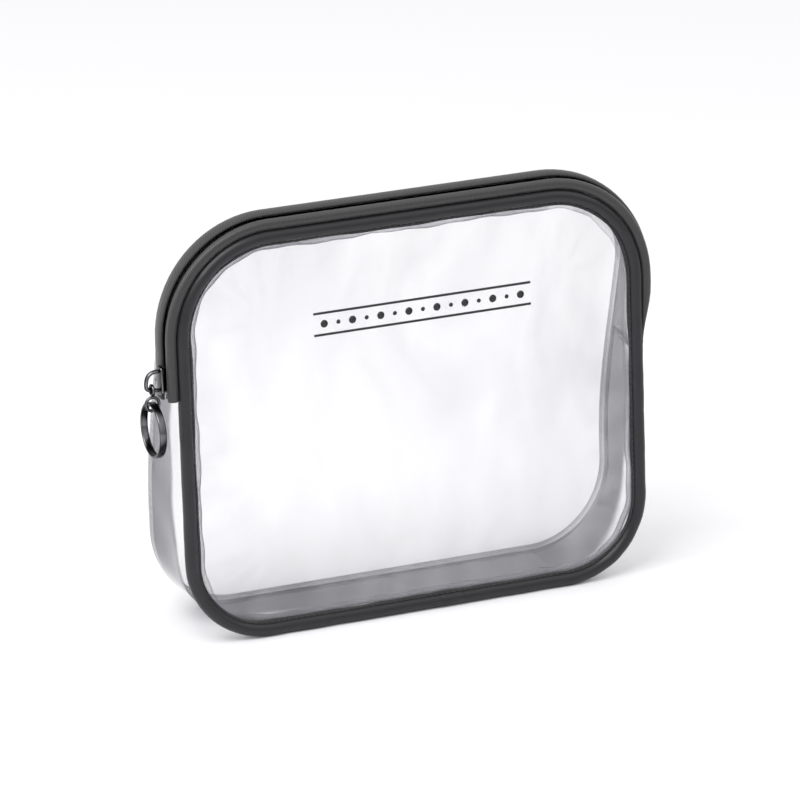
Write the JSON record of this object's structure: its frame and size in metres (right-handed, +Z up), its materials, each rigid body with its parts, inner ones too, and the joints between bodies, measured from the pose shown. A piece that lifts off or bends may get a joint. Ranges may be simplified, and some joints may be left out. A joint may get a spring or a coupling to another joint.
{
  "type": "clear zip makeup pouch",
  "caption": "Upright clear makeup pouch with round corners, black piping round the front, a zip over the top with a ring pull, and a front that folds forward to open.",
  "frame": {"origin": "middle of the pouch's bounding box, on the surface it stands on", "axes": "+Z up, +X to the right across the front, the front panel faces -Y"},
  "size_m": [0.2248, 0.0476, 0.1763],
  "materials": {
    "clear_sheet": "clear flexible PVC sheet, glossy",
    "piping": "black coated piping, satin",
    "zip_tape": "black woven zip tape",
    "zip_coil": "black nylon coil",
    "zip_metal": "polished black nickel plating"
  },
  "bodies": {
    "pouch": {"front_panel_lower": "clear_sheet", "front_seam_edge_lower": "clear_sheet", "gusset_lower": "clear_sheet", "gusset_upper": "clear_sheet", "gusset_joint_left": "clear_sheet", "gusset_joint_right": "clear_sheet", "back_panel": "clear_sheet", "back_seam_rim": "clear_sheet", "front_piping_right": "piping", "front_piping_left": "piping", "front_piping_lap": "piping", "zip_tape_back": "zip_tape", "zip_coil_back": "zip_coil", "zip_stop_left": "zip_coil", "zip_stop_right": "zip_coil"},
    "front_flap": {"front_panel_upper": "clear_sheet", "front_seam_edge_upper": "clear_sheet", "front_piping_upper": "piping", "zip_tape_front": "zip_tape", "zip_coil_front": "zip_coil"},
    "slider": {"slider_body": "zip_metal", "slider_crown": "zip_metal"},
    "link": {"pull_link": "zip_metal"},
    "ring": {"pull_ring": "zip_metal"}
  },
  "joints": [
    {"name": "front_opens", "type": "hinge", "parent": "pouch", "child": "front_flap", "pos_m": [0.00392, -0.01648, 0.096], "axis": [1, 0, 0], "range_deg": [0, 60]},
    {"name": "slider_travel", "type": "slide", "parent": "pouch", "child": "slider", "axis": [0, 0.0785, 0.9969], "range_m": [0, 0.008]},
    {"name": "link_swing", "type": "hinge", "parent": "slider", "child": "link", "pos_m": [-0.10898, -0.00965, 0.11021], "axis": [1, 0, 0], "range_deg": [-26, 26]},
    {"name": "ring_lift", "type": "hinge", "parent": "link", "child": "ring", "pos_m": [-0.10898, -0.0101, 0.10443], "axis": [0, 0.9969, -0.0785], "range_deg": [0, 60]}
  ]
}
